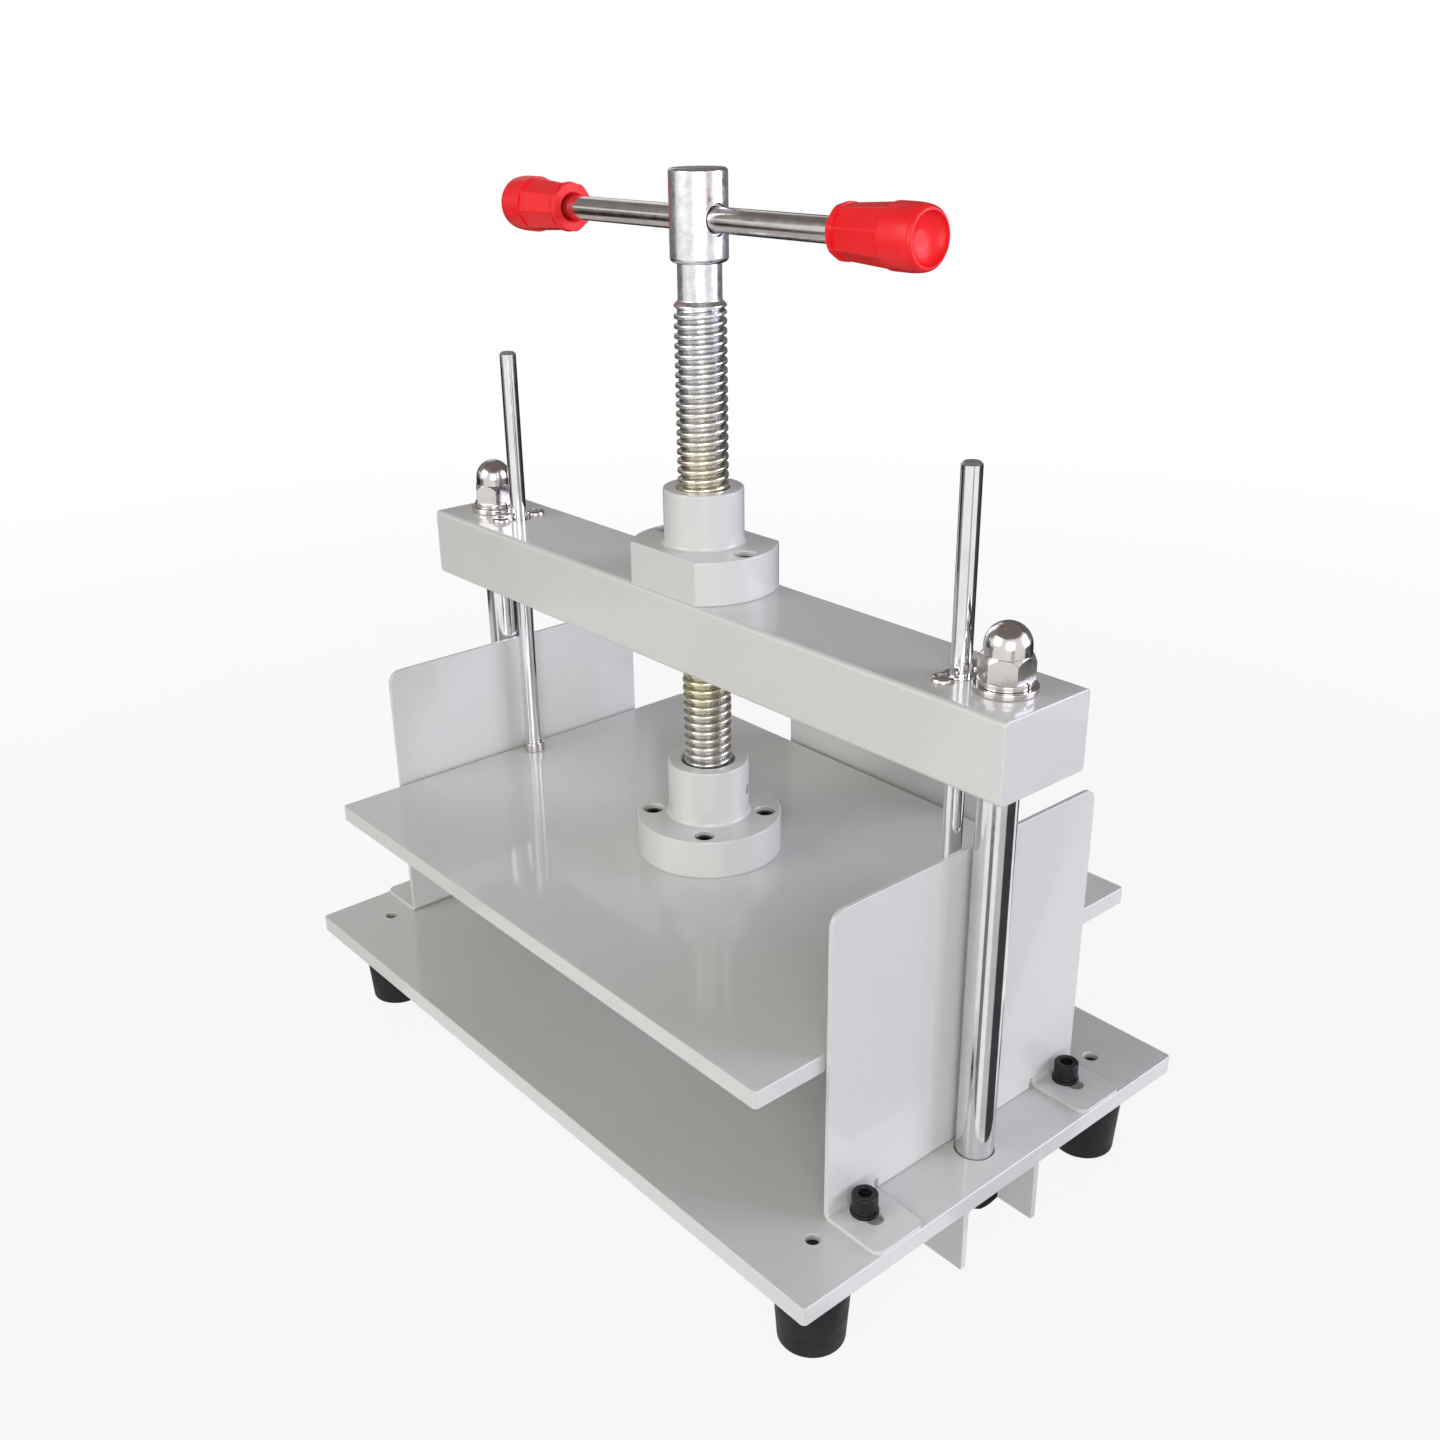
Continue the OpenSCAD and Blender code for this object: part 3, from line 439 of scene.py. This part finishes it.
def add_thread(shape, low, high):
    """A helical thread between two heights, its ridge fading out at both ends."""
    profile = thread_profile()
    turns = int((high - low) / THREAD_LEAD) + 2
    fade = THREAD_LEAD / 2

    def point(turn, side, offset, radius):
        z = low + (turn - 1 + side / THREAD_SIDES) * THREAD_LEAD + offset
        share = max(0.0, min(1.0, (z - low) / fade, (high - z) / fade))
        r = THREAD_ROOT_R + (radius - THREAD_ROOT_R) * share
        angle = 2 * math.pi * side / THREAD_SIDES
        return (r * math.cos(angle), r * math.sin(angle), max(low, min(high, z)))

    columns = []
    for side in range(THREAD_SIDES):
        places = [point(turn, side, *corner) for turn in range(turns + 1) for corner in profile]
        columns.append([shape.verts.new(place) for place in places])
    for side in range(THREAD_SIDES):
        here = columns[side]
        there = columns[(side + 1) % THREAD_SIDES]
        # The last column meets the first one a full turn higher
        shift = len(profile) if side == THREAD_SIDES - 1 else 0
        for i in range(len(here) - 1 - shift):
            corners = (here[i], there[i + shift], there[i + 1 + shift], here[i + 1])
            if max(v.co.z for v in corners) - min(v.co.z for v in corners) > WELD:
                shape.faces.new(corners)
    bmesh.ops.remove_doubles(shape, verts=[v for column in columns for v in column], dist=WELD)


def spindle():
    """The spindle with a true helix in place of the CAD model's ridges, joined at both rims."""
    shape = rounded("lead_screw", SPINDLE_EDGE)
    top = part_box("lead_screw")[1][2]
    high = top - HEAD_H - NECK_H - SHOULDER_H
    ridges = [f for f in shape.faces if THREAD_LOW + WELD < f.calc_center_median().z < high - WELD]
    bmesh.ops.delete(shape, geom=ridges, context="FACES")
    add_thread(shape, THREAD_LOW, high)
    for z in (THREAD_LOW, high):
        rims = [e for e in shape.edges
                if e.is_boundary and all(abs(v.co.z - z) < 2 * WELD for v in e.verts)]
        bmesh.ops.bridge_loops(shape, edges=rims)
    bmesh.ops.recalc_face_normals(shape, faces=shape.faces)
    piece("spindle_with_thread", shape, "lead_screw")


def dress_nodes():
    """Rounded pieces for the nodes with edges that show, welded grips, and a finish for every node."""
    for node, width in EDGE_WIDTHS.items():
        piece(node + "_rounded", rounded(node, width), node)
    for node in GRIPS:
        piece(node + "_rounded", welded(node), node)
    for node, obj in frame["nodes"].items():
        obj.data.materials.clear()
        obj.data.materials.append(finishes[slot_of[node]])
        smooth(obj.data)


def add_camera():
    """A camera with the place, turn and lens that were fitted to the photograph."""
    back = Vector((math.sin(CAMERA_YAW) * math.cos(CAMERA_PITCH),
                   -math.cos(CAMERA_YAW) * math.cos(CAMERA_PITCH), math.sin(CAMERA_PITCH)))
    right = (-back).cross(Vector((0, 0, 1))).normalized()
    up = right.cross(-back)
    across = math.cos(CAMERA_ROLL) * right + math.sin(CAMERA_ROLL) * up
    upwards = math.cos(CAMERA_ROLL) * up - math.sin(CAMERA_ROLL) * right
    data = bpy.data.cameras.new("camera")
    data.lens = CAMERA_LENS
    data.sensor_width = SENSOR
    data.sensor_fit = "HORIZONTAL"
    camera = bpy.data.objects.new("camera", data)
    turn = Matrix((across, upwards, back)).transposed().to_4x4()
    camera.matrix_world = Matrix.Translation(CAMERA_PLACE) @ turn
    bpy.context.scene.collection.objects.link(camera)
    bpy.context.scene.camera = camera


def add_lamp(name, turn, rise, side, power, tint):
    """A square soft lamp aimed at the press, at a turn around Z from +X and a rise above the floor."""
    turn = math.radians(turn)
    rise = math.radians(rise)
    away = Vector((math.cos(turn) * math.cos(rise), math.sin(turn) * math.cos(rise), math.sin(rise)))
    data = bpy.data.lights.new(name, "AREA")
    data.size = side
    data.energy = power
    data.color = tint
    lamp = bpy.data.objects.new(name, data)
    lamp.location = LAMP_AIM + LAMP_DISTANCE * away
    lamp.rotation_euler = away.to_track_quat("Z", "Y").to_euler()
    bpy.context.scene.collection.objects.link(lamp)


def add_painted_reflection(name, turns, low, high, shade, middle):
    """A glowing sheet that shows only in reflections, as a painted reflection: part of a ring between
    two circles.
    """
    shape = bmesh.new()
    rims = [[], []]
    for i in range(REFLECTION_STEPS + 1):
        turn = math.radians(turns[0] + (turns[1] - turns[0]) * i / REFLECTION_STEPS)
        for rim, (r, z) in zip(rims, (low, high)):
            rim.append(shape.verts.new((middle + r * math.cos(turn), r * math.sin(turn), z)))
    for i in range(REFLECTION_STEPS):
        shape.faces.new((rims[0][i], rims[1][i], rims[1][i + 1], rims[0][i + 1]))
    s = Shader(name)
    # Painted reflection: the sheet glows in its shade instead of being lit
    glow = s.add("ShaderNodeEmission")
    glow.inputs["Color"].default_value = (*shade, 1.0)
    s.links.new(glow.outputs["Emission"], s.nodes["Material Output"].inputs["Surface"])
    obj = add_mesh(name, shape, s.material)
    for kind in ("camera", "diffuse", "transmission", "volume_scatter", "shadow"):
        setattr(obj, "visible_" + kind, False)


def seen_rays(nodes, links):
    """One for rays from the camera, a mirror or glass, and zero for light between surfaces."""
    path = nodes.new("ShaderNodeLightPath")
    total = path.outputs["Is Camera Ray"]
    for kind in ("Is Glossy Ray", "Is Transmission Ray"):
        either = nodes.new("ShaderNodeMath")
        either.operation = "MAXIMUM"
        links.new(total, either.inputs[0])
        links.new(path.outputs[kind], either.inputs[1])
        total = either.outputs["Value"]
    return total


def blend(nodes, links, factor, first, second, output):
    """Two shaders, blended by a factor into the surface of an output node."""
    mix = nodes.new("ShaderNodeMixShader")
    for socket, value in zip(mix.inputs, (factor, first, second)):
        links.new(value, socket)
    links.new(mix.outputs["Shader"], nodes[output].inputs["Surface"])


def add_floor():
    """A grey floor that shows as white, with a little of its shading near the press."""
    s = Shader("pale_floor")
    s.plug(s.ranged(s.noise(5.0), 0.3, 0.7, 0.55, 0.65), "Roughness")
    s.set(Base_Color=(FLOOR_GREY, FLOOR_GREY, FLOOR_GREY, 1.0), Specular_IOR_Level=0.2)
    white_share = s.ranged(s.radius(), FLOOR_NEAR, FLOOR_FAR, FLOOR_WHITE, 1.0)
    glow = s.add("ShaderNodeEmission")
    blend(s.nodes, s.links, s.maths("MULTIPLY", seen_rays(s.nodes, s.links), white_share),
          s.principled.outputs["BSDF"], glow.outputs["Emission"], "Material Output")
    shape = bmesh.new()
    bmesh.ops.create_grid(shape, x_segments=2, y_segments=2, size=FLOOR_SIZE)
    obj = add_mesh("floor", shape, s.material)
    obj.location.z = -FLOOR_DROP


def add_world():
    """A white surround for the camera and mirrors, and a grey one for light between surfaces."""
    world = bpy.data.worlds.new("studio")
    bpy.context.scene.world = world
    world.use_nodes = True
    nodes = world.node_tree.nodes
    links = world.node_tree.links
    plain = nodes["Background"]
    plain.inputs["Color"].default_value = (*WHITE, 1.0)
    plain.inputs["Strength"].default_value = AMBIENT
    white = nodes.new("ShaderNodeBackground")
    white.inputs["Color"].default_value = (*WHITE, 1.0)
    blend(nodes, links, seen_rays(nodes, links), plain.outputs["Background"],
          white.outputs["Background"], "World Output")


add_camera()
add_floor()
add_world()
for reflection_sheet in PAINTED_REFLECTIONS:
    add_painted_reflection(*reflection_sheet)
for lamp in LAMPS:
    add_lamp(*lamp)
dress_nodes()
spindle()

scene = bpy.context.scene
scene.view_settings.view_transform = "Standard"
bpy.context.view_layer.update()
